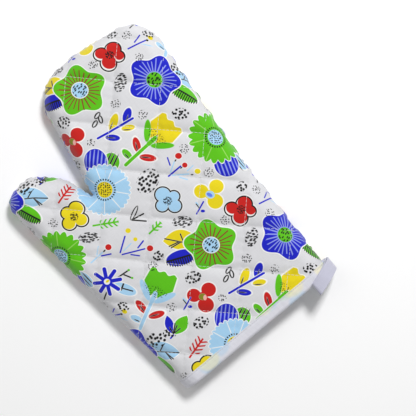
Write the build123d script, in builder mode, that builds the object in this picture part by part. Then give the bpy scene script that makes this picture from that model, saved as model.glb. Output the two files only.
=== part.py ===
from build123d import *
import os
from math import acos, atan2, ceil, cos, hypot, radians, sin, tan

# Quilted cotton oven mitt, lying on its back panel, in millimetres, +Z up.
# +Y runs from the cuff to the fingertips and the thumb points to -X.
# The sewing pattern has its own zero at the cuff's thumb-side corner. The pattern plane
# carries that zero, and puts the part's origin under the middle of its whole box.

# ---- cloth ----
cloth = 0.6  # one thickness of cotton
batting_thickness = 4.4
thread = 0.8  # width of a line of stitches
thread_depth = 0.3  # how far a line of stitches is sunk into its cloth
seat = 0.3  # clearance between pieces that move past each other

# ---- overall form ----
mitt_height = 28.0
front_round = 16.0  # radius of the front panel's turned edge
back_round = 8.0  # radius of the back panel's turned edge
seam_height = 9.0  # the side seam, where front and back panels meet

# ---- flat pattern, clockwise from below the cuff's outer corner ----
cuff_width = 162.0
mitt_length = 288.0
hand_width = 179.5  # outer side of the hand at the fingertips
thumb_reach = 20.0  # how far the thumb stands out past the cuff's corner
thumb_length = 230.0  # from the cuff's edge to the thumb's tip
crotch_x = 43.6
crotch_y = 179.0
overrun = 40.0  # the pattern runs on below the cuff, and is cut off there

# ---- thumb fold ----
fold_clearance = 0.3

# ---- quilting ----
quilt_pitch_rising = 41.3  # between the lines that rise to the right
quilt_pitch_falling = 38.2
quilt_cross_x = 98.5  # a point midway between the lines of both directions
quilt_cross_y = 135.6

# ---- cuff ----
binding_width = 10.3
topstitch_from_edge = 0.9  # the binding's stitches, back from its inner edge

# ---- side seam ----
seam_thread_inset = 2.0

# ---- hanging loop ----
tape_width = 12.0
tape = 0.8  # one thickness of twill tape
loop_from = -1.2  # the tape's lower edge at its fold, from the cuff's edge
loop_reach = 27.0  # from the fold to the loop's far end
loop_stand_off = 4.6  # the fold's distance out from the cuff's side
loop_slope = 17.0  # degrees, how far the loop hangs towards the open end
loop_eye = 5.6  # inner height of the loop
loop_rest_gap = 0.4  # between the loop and the cuff that it lies on
tab_depth = 4.0  # how far the tape's ends are sewn into the side seam
nose_radius = 1.0

pattern_points = [
    (cuff_width, -overrun),
    (cuff_width, 25.0),
    (cuff_width + 3.0, 125.0),
    (hand_width, mitt_length - 9.0),
    (110.0, mitt_length + 1.0),
    (62.5, mitt_length - 1.0),
    (crotch_x, crotch_y),
    (35.5, 209.5),
    (12.0, thumb_length + 3.0),
    (-thumb_reach, thumb_length - 1.0),
    (1.2 - thumb_reach, thumb_length - 25.0),
    (3.5, -overrun),
]
pattern_radii = [20.0, 200.0, 300.0, 29.0, 90.0, 33.0, 1.2, 30.0, 24.0, 14.0, 60.0, 20.0]
span = 900.0  # longer than the mitt any way


def outline(plane, inset):
    """The mitt's flat outline on a plane, pulled in all round by inset."""
    with BuildSketch(plane, mode=Mode.PRIVATE) as shape:
        with BuildLine():
            FilletPolyline(*pattern_points, radius=pattern_radii, close=True)
        make_face()
        if inset > 0:
            offset(amount=-inset)
    return shape.sketch


# The pattern's zero is set so that the finished box is centred on the part's origin.
flat_box = outline(Plane.XY, 0).bounding_box()
pivot_x = cuff_width + loop_stand_off
pivot_z = seam_height
tip_x = pivot_x + nose_radius - loop_reach
tip_drop = (pivot_x - tip_x) * tan(radians(loop_slope))
mid_x = (flat_box.min.X + flat_box.max.X) / 2
mid_y = (loop_from - tip_drop + flat_box.max.Y) / 2
pattern = Plane(origin=(-mid_x, -mid_y, 0))


def level(height):
    """The pattern plane raised to a height above the table."""
    return pattern.offset(height)


def upright(distance):
    """A plane across the mitt, facing the cuff's open end, at a distance from the cuff's edge."""
    return Plane(origin=(-mid_x, distance - mid_y, 0), x_dir=(1, 0, 0), z_dir=(0, -1, 0))


def pillow(inset):
    """Closed blank of the whole mitt, with both faces rounded over, smaller by inset all over."""
    with BuildPart(mode=Mode.PRIVATE) as blank:
        add(outline(level(inset), inset))
        extrude(amount=mitt_height - 2 * inset)
        fillet(blank.faces().sort_by(Axis.Z)[-1].edges(), front_round - inset)
        fillet(blank.faces().sort_by(Axis.Z)[0].edges(), back_round - inset)
    return blank.part


def across(start, end):
    """Block across the whole mitt between two distances from the cuff's edge."""
    with BuildPart(mode=Mode.PRIVATE) as block:
        with BuildSketch(upright(end)):
            Rectangle(span, span)
        extrude(amount=end - start)
    return block.part


def between(outer, inner, start, end):
    """The skin between two pillows, over one stretch of the mitt's length."""
    with BuildPart(mode=Mode.PRIVATE) as skin:
        add(pillows[outer])
        add(pillows[inner], mode=Mode.SUBTRACT)
        add(across(start, end), mode=Mode.INTERSECT)
    return skin.part


wall = batting_thickness + 2 * cloth
pillows = {
    "outside": pillow(0),
    "thread bed": pillow(thread_depth),
    "under shell": pillow(cloth),
    "under hem": pillow(2 * cloth),
    "over tuck": pillow(wall - 2 * cloth),
    "over lining": pillow(wall - cloth),
    "inside": pillow(wall),
}
far = span / 2
hem_end = binding_width + cloth

# ---- quilting lines: two sets of parallel lines at right angles, 45 degrees to the mitt ----
quilt_count = 2 * ceil(mitt_length / quilt_pitch_falling / 2) + 2
quilt_plane = Plane(
    origin=(quilt_cross_x - mid_x, quilt_cross_y - mid_y, 0), x_dir=(1, 1, 0), z_dir=(0, 0, 1)
)
with BuildPart(mode=Mode.PRIVATE) as quilt_lines:
    with BuildSketch(quilt_plane):
        with GridLocations(0, quilt_pitch_rising, 1, quilt_count):
            Rectangle(span, thread)
        with GridLocations(quilt_pitch_falling, 0, quilt_count, 1):
            Rectangle(thread, span)
    extrude(amount=mitt_height)

with BuildPart(mode=Mode.PRIVATE) as quilting:
    add(between("outside", "thread bed", binding_width, far))
    add(quilt_lines.part, mode=Mode.INTERSECT)

# ---- root tab: both ends of the tape, caught in the side seam ----
with BuildPart() as loop_root_tab:
    with BuildSketch(level(seam_height - tape)):
        with Locations((cuff_width - tab_depth, loop_from)):
            Rectangle(
                tab_depth + loop_stand_off - nose_radius - seat,
                tape_width,
                align=(Align.MIN, Align.MIN),
            )
    extrude(amount=2 * tape)
tab_block = loop_root_tab.part

tack_width = 1.6
with BuildPart() as loop_bar_tack:
    with BuildSketch(level(seam_height + tape - thread_depth)):
        with Locations((cuff_width + tack_width, loop_from + tape_width / 2)):
            Rectangle(tack_width, tape_width - 2 * tape)
    extrude(amount=thread_depth)
with BuildPart() as loop_root_tab:
    add(tab_block)
    add(loop_bar_tack.part, mode=Mode.SUBTRACT)

# ---- cuff binding: one folded strip round the mouth, inside and outside ----
stitch_end = binding_width - topstitch_from_edge
with BuildPart() as binding_topstitch:
    add(between("outside", "thread bed", stitch_end - thread, stitch_end))
    add(tab_block, mode=Mode.SUBTRACT)
with BuildPart() as cuff_binding:
    add(between("outside", "inside", 0, binding_width))
    add(between("under shell", "over lining", cloth, far), mode=Mode.SUBTRACT)
    add(binding_topstitch.part, mode=Mode.SUBTRACT)
    add(tab_block, mode=Mode.SUBTRACT)

# ---- side seam: a ring of stitches in the batting, level with the seam ----
with BuildPart(mode=Mode.PRIVATE) as seam_core:
    add(outline(level(seam_height - thread / 2), seam_thread_inset + thread))
    extrude(amount=thread)
with BuildPart(mode=Mode.PRIVATE) as seam_ring:
    add(outline(level(seam_height - thread / 2), seam_thread_inset))
    extrude(amount=thread)
    add(seam_core.part, mode=Mode.SUBTRACT)
    add(across(loop_from + tape_width + tape, far), mode=Mode.INTERSECT)

# ---- the layers of the whole mitt, before they are parted at the seam and the thumb ----
with BuildPart(mode=Mode.PRIVATE) as shell:
    add(between("outside", "under shell", binding_width, far))
    add(between("under shell", "under hem", cloth, hem_end))
with BuildPart(mode=Mode.PRIVATE) as lining:
    add(between("over lining", "inside", binding_width, far))
    add(between("over tuck", "over lining", cloth, hem_end))
with BuildPart(mode=Mode.PRIVATE) as batting:
    add(between("under shell", "over lining", cloth, far))
    add(shell.part, mode=Mode.SUBTRACT)
    add(lining.part, mode=Mode.SUBTRACT)
    add(seam_ring.part, mode=Mode.SUBTRACT)
    add(tab_block, mode=Mode.SUBTRACT)
with BuildPart(mode=Mode.PRIVATE) as stitched_shell:
    add(shell.part)
    add(quilting.part, mode=Mode.SUBTRACT)
    add(tab_block, mode=Mode.SUBTRACT)

# ---- the thumb's part of the pattern: above the fold line and left of the crotch ----
fold_turn = 45.0  # degrees from +X


def thumb_block(gap):
    """Everything on the thumb's side of the fold line, short of it by gap."""
    shift = gap / sin(radians(fold_turn))
    low_x = crotch_x - span / 2
    with BuildPart(mode=Mode.PRIVATE) as block:
        with BuildSketch(pattern):
            with BuildLine():
                Polyline(
                    (low_x, fold_y + shift - span / 2),
                    (crotch_x, fold_y + shift),
                    (crotch_x, fold_y + span),
                    (low_x, fold_y + span),
                    close=True,
                )
            make_face()
        extrude(amount=mitt_height)
    return block.part


# The fold line starts at the bottom of the crotch's small round.
fold_y = crotch_y + 5.0
hand_cut = thumb_block(-fold_clearance / 2)
thumb_cut = thumb_block(fold_clearance / 2)


def half(low, high):
    """Block of the whole mitt between two heights."""
    with BuildPart(mode=Mode.PRIVATE) as block:
        with BuildSketch(Plane.XY.offset(low)):
            Rectangle(span, span)
        extrude(amount=high - low)
    return block.part


def export_piece(piece, name):
    """Name a finished piece and write its file."""
    piece.label = name
    export_step(piece, f"parts/{name}.step")
    print(name, len(piece.solids()), "solids", round(piece.volume), "mm3")


os.makedirs("parts", exist_ok=True)

sides = {"front": half(seam_height, mitt_height), "back": half(0, seam_height)}
layers = {
    "shell": stitched_shell.part,
    "batting": batting.part,
    "lining": lining.part,
    "quilting_thread": quilting.part,
}
for side, side_half in sides.items():
    for layer, whole in layers.items():
        with BuildPart() as hand_piece:
            add(whole)
            add(side_half, mode=Mode.INTERSECT)
            add(hand_cut, mode=Mode.SUBTRACT)
        export_piece(hand_piece.part, f"{side}_{layer}")
        with BuildPart() as thumb_piece:
            add(whole)
            add(side_half, mode=Mode.INTERSECT)
            add(thumb_cut, mode=Mode.INTERSECT)
        export_piece(thumb_piece.part, f"thumb_{side}_{layer}")

with BuildPart() as side_seam_thread:
    add(seam_ring.part)
    add(hand_cut, mode=Mode.SUBTRACT)
export_piece(side_seam_thread.part, "side_seam_thread")

with BuildPart() as thumb_seam_thread:
    add(seam_ring.part)
    add(thumb_cut, mode=Mode.INTERSECT)
export_piece(thumb_seam_thread.part, "thumb_seam_thread")

export_piece(cuff_binding.part, "cuff_binding")
export_piece(binding_topstitch.part, "binding_topstitch")
export_piece(loop_root_tab.part, "loop_root_tab")
export_piece(loop_bar_tack.part, "loop_bar_tack")

# ---- hanging loop: the tape's middle line leaves the fold, lies over the cuff's rounded
# shoulder, turns back at the far end and comes down to the fold again on a larger arc ----
shoulder_x = cuff_width - front_round
shoulder_z = mitt_height - front_round
lower_radius = front_round + loop_rest_gap + tape / 2
turn_radius = (loop_eye + tape) / 2
top_z = shoulder_z + lower_radius
turn_x = tip_x + tape / 2 + turn_radius
reach_x = pivot_x - shoulder_x
reach_z = pivot_z - shoulder_z
tangent_angle = atan2(reach_z, reach_x) + acos(lower_radius / hypot(reach_x, reach_z))
leave_x = shoulder_x + lower_radius * cos(tangent_angle)
leave_z = shoulder_z + lower_radius * sin(tangent_angle)

with BuildPart() as hanging_loop:
    with BuildSketch(upright(tape_width)):
        with BuildLine():
            Line((pivot_x, pivot_z), (leave_x, leave_z))
            RadiusArc((leave_x, leave_z), (shoulder_x, top_z), -lower_radius)
            Line((shoulder_x, top_z), (turn_x, top_z))
            CenterArc((turn_x, top_z + turn_radius), turn_radius, start_angle=90, arc_size=180)
            Line((turn_x, top_z + 2 * turn_radius), (shoulder_x, top_z + 2 * turn_radius))
            TangentArc(
                (shoulder_x, top_z + 2 * turn_radius), (pivot_x, pivot_z), tangent=(1, 0)
            )
        make_face()
        offset(amount=tape / 2)
        offset(amount=-tape, mode=Mode.SUBTRACT)
        with Locations((pivot_x, pivot_z)):
            Circle(nose_radius)
    extrude(amount=3 * tape_width)
    with BuildSketch(pattern):
        with BuildLine():
            Polyline(
                (pivot_x + tape_width, loop_from),
                (pivot_x, loop_from),
                (tip_x - tape, loop_from - tip_drop),
                (tip_x - tape, loop_from - tip_drop + tape_width),
                (pivot_x, loop_from + tape_width),
                (pivot_x + tape_width, loop_from + tape_width),
                close=True,
            )
        make_face()
    extrude(amount=2 * mitt_height, mode=Mode.INTERSECT)
export_piece(hanging_loop.part, "hanging_loop")

print("fold line through", round(crotch_x - mid_x, 3), round(fold_y - mid_y, 3), "at", mitt_height)
print("loop pivot", round(pivot_x - mid_x, 3), round(pivot_z, 3))
print("pattern zero", round(-mid_x, 3), round(-mid_y, 3))
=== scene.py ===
import math

import bpy
import numpy as np
from mathutils.geometry import delaunay_2d_cdt
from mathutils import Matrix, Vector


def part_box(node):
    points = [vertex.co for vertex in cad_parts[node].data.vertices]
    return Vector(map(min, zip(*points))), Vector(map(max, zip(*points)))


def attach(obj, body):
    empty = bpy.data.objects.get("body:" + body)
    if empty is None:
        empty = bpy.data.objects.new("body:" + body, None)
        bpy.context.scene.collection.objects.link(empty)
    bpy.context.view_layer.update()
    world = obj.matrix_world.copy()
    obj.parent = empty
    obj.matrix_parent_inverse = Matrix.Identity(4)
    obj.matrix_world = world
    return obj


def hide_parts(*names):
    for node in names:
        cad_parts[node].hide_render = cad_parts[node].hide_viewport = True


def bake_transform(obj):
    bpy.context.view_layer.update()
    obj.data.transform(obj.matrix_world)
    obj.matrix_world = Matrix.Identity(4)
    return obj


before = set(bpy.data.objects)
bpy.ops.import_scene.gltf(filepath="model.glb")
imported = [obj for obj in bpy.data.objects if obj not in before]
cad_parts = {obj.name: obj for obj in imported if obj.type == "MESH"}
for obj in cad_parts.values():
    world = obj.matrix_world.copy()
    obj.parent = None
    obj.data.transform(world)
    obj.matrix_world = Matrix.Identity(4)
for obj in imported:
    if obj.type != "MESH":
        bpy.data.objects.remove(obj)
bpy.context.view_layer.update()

MM = 0.001
UV_MM = 100  # millimetres of cloth to one unit of its UV map
CUFF_WIDTH = 162.0
MITT_LENGTH = 288.0
HAND_WIDTH = 179.5
THUMB_REACH = 20.0
THUMB_LENGTH = 230.0
CROTCH = (43.6, 179.0)
FOLD_FOOT = (43.6, 184.0)  # the thumb's fold line rises at 45 degrees through this point
OVERRUN = 40.0
SEAM_Z = 9.0
TOP_Z = 27.6
BACK_Z = 0.5
FRONT_ROUND = 16.0
BACK_ROUND = 8.0
WALL = 5.6
BINDING_WIDTH = 10.3
TOPSTITCH_IN = 1.3  # the topstitching, in from the binding's inner edge
PANEL_START = 7.0  # the panels begin under the binding
QUILT_PITCH = (41.3, 38.2)  # rising lines, falling lines
QUILT_CROSS = (98.5, 135.6)

cuff_low, cuff_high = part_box("cuff_binding")
ZERO = np.array([cuff_high[0] / MM - CUFF_WIDTH, cuff_low[1] / MM, 0.0])


# ---------------------------------------------------------------- meshes

def add_mesh(name, points, faces, uv=None):
    """A mesh piece from pattern points in millimetres, with an optional flat-cloth UV for each point."""
    mesh = bpy.data.meshes.new(name)
    mesh.from_pydata(((np.asarray(points) + ZERO) * MM).tolist(), [], np.asarray(faces).tolist())
    mesh.polygons.foreach_set("use_smooth", np.full(len(mesh.polygons), True))
    if uv is not None:
        layer = mesh.uv_layers.new(name="cloth")
        corner = np.empty(len(mesh.loops), dtype=np.int32)
        mesh.loops.foreach_get("vertex_index", corner)
        layer.data.foreach_set("uv", (np.asarray(uv)[corner] / UV_MM).ravel())
    mesh.update()
    piece = bpy.data.objects.new(name, mesh)
    bpy.context.scene.collection.objects.link(piece)
    return piece


def add_thickness(piece, thickness, offset=-1):
    """Gives a sheet its cloth's thickness: inwards at offset -1, half to each side at 0."""
    wall = piece.modifiers.new("cloth", "SOLIDIFY")
    wall.thickness = thickness * MM
    wall.offset = offset


def stand_for(piece, *layers):
    """The piece takes the place of these layers, on the hand and on the thumb."""
    for layer in layers:
        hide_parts(layer, "thumb_" + layer)


def grid_faces(rows, columns, closed_columns=False):
    """Quads of a grid whose points run row by row, with the last column joined to the first if closed."""
    count = columns if closed_columns else columns - 1
    row, column = np.meshgrid(np.arange(rows - 1), np.arange(count), indexing="ij")
    right = (column + 1) % columns
    corners = [row * columns + column, row * columns + right,
               (row + 1) * columns + right, (row + 1) * columns + column]
    return np.stack(corners, axis=-1).reshape(-1, 4)


def smoothstep(low, high, value):
    """0 below low, 1 above high, and an S-curve between them."""
    t = np.clip((value - low) / (high - low), 0, 1)
    return t * t * (3 - 2 * t)


# ---------------------------------------------------------------- outline

FOOT_X = 3.5  # the straight thumb-side edge ends here, below the cuff
THUMB_SIDE = (1.2 - THUMB_REACH, THUMB_LENGTH - 25)  # and starts here, below the thumb's tip
OUTLINE_POINTS = [
    (CUFF_WIDTH, -OVERRUN), (CUFF_WIDTH, 25), (CUFF_WIDTH + 3, 125),
    (HAND_WIDTH, MITT_LENGTH - 9), (110, MITT_LENGTH + 1), (62.5, MITT_LENGTH - 1),
    CROTCH, (35.5, 209.5), (12, THUMB_LENGTH + 3), (-THUMB_REACH, THUMB_LENGTH - 1),
    THUMB_SIDE, (FOOT_X, -OVERRUN),
]
OUTLINE_RADII = [20, 200, 300, 29, 90, 33, 1.2, 30, 24, 14, 60, 20]


def left_edge(y):
    """x of the straight thumb-side edge at a height on the pattern."""
    return FOOT_X - (y + OVERRUN) * (FOOT_X - THUMB_SIDE[0]) / (THUMB_SIDE[1] + OVERRUN)


def rounded_outline(step):
    """Points about step apart along straight sides that are joined by tangent arcs, anticlockwise.
    At each corner the arc's centre lies on the bisector, at radius / sin(half the corner's angle)."""
    corners = np.array(OUTLINE_POINTS, dtype=float)
    ends = []
    for index, radius in enumerate(OUTLINE_RADII):
        corner = corners[index]
        back = corners[index - 1] - corner
        ahead = corners[(index + 1) % len(corners)] - corner
        back /= np.linalg.norm(back)
        ahead /= np.linalg.norm(ahead)
        half = math.acos(np.clip(back @ ahead, -1, 1)) / 2
        bisector = (back + ahead) / np.linalg.norm(back + ahead)
        centre = corner + bisector * radius / math.sin(half)
        first = corner + back * radius / math.tan(half) - centre
        last = corner + ahead * radius / math.tan(half) - centre
        start = math.atan2(first[1], first[0])
        sweep = (math.atan2(last[1], last[0]) - start + math.pi) % (2 * math.pi) - math.pi
        count = max(5, int(abs(sweep) * radius / step))
        angle = start + sweep * np.linspace(0, 1, count)
        ends.append(centre + radius * np.stack([np.cos(angle), np.sin(angle)], axis=1))
    stretches = []
    for index, arc in enumerate(ends):
        following = ends[(index + 1) % len(ends)][0]
        count = max(2, int(np.linalg.norm(following - arc[-1]) / step))
        share = np.linspace(0, 1, count, endpoint=False)[1:, None]
        stretches += [arc, arc[-1] + (following - arc[-1]) * share]
    return np.concatenate(stretches)


def edge_distance(points, outline):
    """For each point, its distance to the outline and the direction to the nearest outline point."""
    start = outline
    along = np.roll(outline, -1, axis=0) - start
    length2 = (along**2).sum(axis=1)
    distance = np.empty(len(points))
    direction = np.empty((len(points), 2))
    for first in range(0, len(points), 2000):
        chunk = points[first:first + 2000]
        rel = chunk[:, None, :] - start[None]
        share = np.clip((rel * along).sum(axis=2) / length2, 0, 1)
        gap = rel - share[..., None] * along
        square = (gap**2).sum(axis=2)
        nearest = square.argmin(axis=1)
        rows = np.arange(len(chunk))
        distance[first:first + 2000] = np.sqrt(square[rows, nearest])
        direction[first:first + 2000] = -gap[rows, nearest]
    return distance, direction / np.maximum(distance, 1e-6)[:, None]


def inside_outline(points, outline):
    """Whether each point is inside the outline: a line to its right crosses an odd number of sides."""
    odd = np.zeros(len(points), dtype=bool)
    following = np.roll(outline, -1, axis=0)
    for (ax, ay), (bx, by) in zip(outline, following):
        crosses = (ay > points[:, 1]) != (by > points[:, 1])
        if crosses.any():
            reach = ax + (points[:, 1] - ay) * (bx - ax) / (by - ay if by != ay else 1)
            odd ^= crosses & (points[:, 0] < reach)
    return odd


# ---------------------------------------------------------------- the padded panels' form

def quilt_coordinates(x, y):
    """How far a point lies across the rising and the falling quilting lines, in whole pitches."""
    across = x - QUILT_CROSS[0]
    up = y - QUILT_CROSS[1]
    rising = (up - across) / math.sqrt(2) / QUILT_PITCH[0] + 0.5
    falling = (up + across) / math.sqrt(2) / QUILT_PITCH[1] + 0.5
    return rising, falling


def quilt_relief(x, y):
    """Height of the quilting: sunk at each line of stitches, crowned in the middle of each diamond,
    with short puckers that run out from the lines."""
    rising, falling = quilt_coordinates(x, y)
    off_rising = np.abs(rising - np.round(rising)) * QUILT_PITCH[0]
    off_falling = np.abs(falling - np.round(falling)) * QUILT_PITCH[1]
    sunk = sum(1.15 * np.exp(-(off / 4.2)**2) + 0.45 * np.exp(-(off / 1.1)**2)
               for off in (off_rising, off_falling))
    crown = 0.9 * np.sqrt(np.abs(np.sin(math.pi * rising) * np.sin(math.pi * falling)))
    wobble = 2.3 * np.sin(0.043 * x + 1.0) + 1.7 * np.sin(0.061 * y)
    pucker = (np.exp(-(off_rising / 6)**2) * np.sin(falling * 2 * math.pi * 5.3 + wobble)
              + np.exp(-(off_falling / 6)**2) * np.sin(rising * 2 * math.pi * 4.7 - wobble))
    return crown - np.minimum(sunk, 2.0) + 0.16 * pucker


def slack(x, y):
    """Slow rise and fall of cloth that was washed and lies loose: a few long waves at odd angles."""
    return (0.35 * np.sin(x * 0.071 + y * 0.043 + 0.4) + 0.28 * np.sin(x * 0.112 - y * 0.058 + 2.1)
            + 0.18 * np.sin(-x * 0.034 + y * 0.171 + 4.0) + 0.12 * np.sin(x * 0.231 + y * 0.127))


def shoulder(distance, radius):
    """How far the panel's turned edge has risen, from 0 at the side seam to 1 at radius: an ellipse."""
    share = 1 - np.clip(distance / radius, 0, 1)
    return np.sqrt(np.maximum(0, 1 - share**2))


def droop(x, y):
    """How far the cuff's top sags: an S-curve from each side, dying off up the hand."""
    return -1.5 * smoothstep(12, 75, x) * smoothstep(12, 75, 158 - x) * np.exp(-(y / 50)**2)


def front_height(x, y, distance):
    """Height of the front panel's outside."""
    quilted = smoothstep(0.5, 9, distance) * smoothstep(BINDING_WIDTH - 2, BINDING_WIDTH + 9, y)
    rise = (TOP_Z - SEAM_Z) * shoulder(distance, FRONT_ROUND)
    return SEAM_Z + rise + quilted * (1.15 * quilt_relief(x, y) + slack(x, y)) + droop(x, y)


def back_height(x, y, distance):
    """Height of the back panel's outside, which the table holds flat but for the quilting."""
    quilted = smoothstep(0.5, 7, distance) * smoothstep(BINDING_WIDTH - 2, BINDING_WIDTH + 9, y)
    fall = (SEAM_Z - BACK_Z) * shoulder(distance, BACK_ROUND)
    return SEAM_Z - fall - quilted * np.minimum(quilt_relief(x, y), 0.25) * 0.8


def thumb_weight(x, y):
    """0 on the hand and 1 on the thumb, turning smoothly past the fold line."""
    past = ((y - FOLD_FOOT[1]) - (x - FOLD_FOOT[0])) / math.sqrt(2)
    left = 1 - smoothstep(FOLD_FOOT[0] - 1, FOLD_FOOT[0] + 4, x)
    return smoothstep(-5, 21, past) * left


def panel_plan(grid_share, ring_insets, ring_step):
    """The panel's flat points and triangles: rings along the outline, then a grid whose rows follow
    the quilting lines, joined by Delaunay triangles."""
    outline = rounded_outline(ring_step)
    sides = outline[outline[:, 1] > PANEL_START + 0.6 * ring_step]
    left = left_edge(PANEL_START)
    foot = np.linspace(left, CUFF_WIDTH, int((CUFF_WIDTH - left) / ring_step) + 1)
    bottom = np.stack([foot, np.full(len(foot), PANEL_START)], axis=1)
    border = np.concatenate([bottom, sides])
    tangent = np.roll(outline, -1, axis=0) - np.roll(outline, 1, axis=0)
    tangent /= np.linalg.norm(tangent, axis=1)[:, None]
    inward = np.stack([-tangent[:, 1], tangent[:, 0]], axis=1)
    rings = []
    for inset in ring_insets:
        ring = outline + inward * inset
        deep, _ = edge_distance(ring, outline)
        ring = ring[(deep > inset - 0.05) & (ring[:, 1] > PANEL_START + 0.5 * ring_step)]
        if inset > 5:
            _, chosen = np.unique(np.floor(ring / (0.6 * ring_step)), axis=0, return_index=True)
            ring = ring[np.sort(chosen)]
        rings.append(ring)
    rising = np.arange(-140, 141) / grid_share * QUILT_PITCH[0] + QUILT_PITCH[0] / 2
    falling = np.arange(-160, 161) / grid_share * QUILT_PITCH[1] + QUILT_PITCH[1] / 2
    across_rising, across_falling = np.meshgrid(rising, falling)
    x = QUILT_CROSS[0] + (across_falling - across_rising) / math.sqrt(2)
    y = QUILT_CROSS[1] + (across_falling + across_rising) / math.sqrt(2)
    core = np.stack([x.ravel(), y.ravel()], axis=1)
    core = core[(core[:, 1] > PANEL_START + 0.7 * ring_step) & inside_outline(core, outline)]
    deep, _ = edge_distance(core, outline)
    core = core[deep > ring_insets[-1] + 0.6 * ring_step]
    points = np.concatenate([border] + rings + [core])
    edges = [(index, (index + 1) % len(border)) for index in range(len(border))]
    flat, _, faces, _, _, _ = delaunay_2d_cdt(points.tolist(), edges, [], 1, 1e-4)
    flat = np.array([tuple(point) for point in flat])
    faces = np.array(faces)
    a, b, c = (flat[faces[:, corner]] for corner in range(3))
    area = (b[:, 0] - a[:, 0]) * (c[:, 1] - a[:, 1]) - (b[:, 1] - a[:, 1]) * (c[:, 0] - a[:, 0])
    faces[area < 0] = faces[area < 0][:, ::-1]
    return flat, faces[np.abs(area) > 1e-6], outline


def cloth_position(flat, distance, direction, radius, height):
    """Where each point lies on the unrolled cloth: past the turned edge the cloth reaches further out
    than it does seen from above, by the ellipse's arc less its width."""
    lean = np.clip(1 - distance / radius, 0, 1)
    angle = np.arcsin(lean)
    mean = (radius + height) / 2
    further = mean * angle - radius * lean
    return flat + direction * np.maximum(further, 0)[:, None] * TURNED_PRINT


def print_grain(flat):
    """The print was laid a little off the cloth's grain, so each repeat steps sideways."""
    x, y = flat[:, 0], flat[:, 1]
    return np.stack([x + 0.0091 * y, y + 0.0407 * x], axis=1)


RINGS = [FRONT_ROUND * (1 - math.cos(math.radians(angle))) for angle in (12, 25, 38, 50, 56, 62, 75)]
flat, triangles, OUTLINE = panel_plan(20, RINGS, 2.0)
depth, outward = edge_distance(flat, OUTLINE)
depth[depth < 1e-3] = 0
TURNED_PRINT = 0.7  # the turned edges are eased, so they use up less cloth than their arc
PINCH = 0.8  # the seam pulls the panels' edges in


def panel(name, height, radius, rise, front):
    """One padded panel, cut from the flat plan and lifted to its height."""
    points = np.column_stack([flat, height(flat[:, 0], flat[:, 1], depth)])
    pinch = PINCH * np.exp(-(depth / 0.4)**2) * (flat[:, 1] > PANEL_START + 1)
    points[:, :2] -= outward * pinch[:, None]
    cloth = cloth_position(flat, depth, outward, radius, rise)
    if front:
        return add_mesh(name, points, triangles, print_grain(cloth))
    cloth[:, 0] = CUFF_WIDTH + 23 - cloth[:, 0]
    return add_mesh(name, points, triangles[:, ::-1], print_grain(cloth))


def follow_thumb(piece):
    """Bakes the piece's place into its mesh and works out how far each point lies towards the thumb; the
    weights are not used.
    """
    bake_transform(piece)
    place = np.empty(len(piece.data.vertices) * 3)
    piece.data.vertices.foreach_get("co", place)
    place = place.reshape(-1, 3) / MM - ZERO
    weight = thumb_weight(place[:, 0], place[:, 1])


quilted_front = panel("quilted_front", front_height, FRONT_ROUND, TOP_Z - SEAM_Z, True)
quilted_back = panel("quilted_back", back_height, BACK_ROUND, SEAM_Z - BACK_Z, False)
for padded_panel in (quilted_front, quilted_back):
    smooth = padded_panel.modifiers.new("smooth", "SUBSURF")
    smooth.levels = smooth.render_levels = 1
    follow_thumb(padded_panel)
stand_for(quilted_front, "front_shell", "front_batting")
stand_for(quilted_back, "back_shell", "back_batting")


# ---------------------------------------------------------------- bound cuff

def mouth_edge(turn, inset, y):
    """A point of the cuff's cross-section at an inset from its outside. turn runs 0 to 1 from the
    thumb-side seam over the front and 1 to 2 back under it: half ellipses joined by straight lines."""
    left = left_edge(y)
    over = turn <= 1
    share = np.where(over, turn, 2 - turn)
    radius = np.where(over, FRONT_ROUND, BACK_ROUND)
    rise = np.where(over, TOP_Z - SEAM_Z, BACK_Z - SEAM_Z)
    shrink = np.sign(rise) * inset
    bend = 0.16  # share of the way round that each shoulder takes
    angle = np.minimum(share, 1 - share).clip(0, bend) / bend * math.pi / 2
    level = (share - bend) / (1 - 2 * bend)
    reach = (radius - inset) * (1 - np.cos(angle)) + inset
    x = np.where(share < bend, left + reach,
                 np.where(share > 1 - bend, CUFF_WIDTH - reach,
                          left + radius + (CUFF_WIDTH - left - 2 * radius) * np.clip(level, 0, 1)))
    return x, SEAM_Z + (rise - shrink) * np.sin(angle) + np.where(over, droop(x, y), 0)


def binding_path(v):
    """The binding's cross-section: up the outside, round the raw edge in a half ellipse and up the
    inside. Returns how far in it lies and how far it is from the cuff's edge."""
    proud = 0.75
    middle = WALL / 2
    half = middle + proud
    fold = 2.6
    angle = np.clip((v - 0.34) / 0.32, 0, 1) * math.pi
    leg = np.where(v < 0.34, 1 - v / 0.34, np.clip((v - 0.66) / 0.34, 0, 1))
    inset = middle - half * np.cos(angle)
    reach = fold * (1 - np.sin(angle)) + leg * (BINDING_WIDTH - fold)
    tuck = 0.9 * np.exp(-((leg - 1) / 0.035)**2) * np.where(v < 0.5, 1, -1)
    return inset + tuck, reach


def back_drop(z):
    """The mouth's back edge ends a little lower than its front, by an S-curve of height."""
    return 1.3 * (1 - smoothstep(2, 16, z))


def ripple(turn, v):
    """The binding's small uneven puckers, drawn up by its stitches."""
    return (0.05 * np.sin(turn * 143 + 5 * np.sin(turn * 9) + v * 7)
            + 0.04 * np.sin(turn * 231 + 4 * np.sin(turn * 14) - v * 11) + 0.14 * np.sin(turn * 37 + 1.3))


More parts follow.
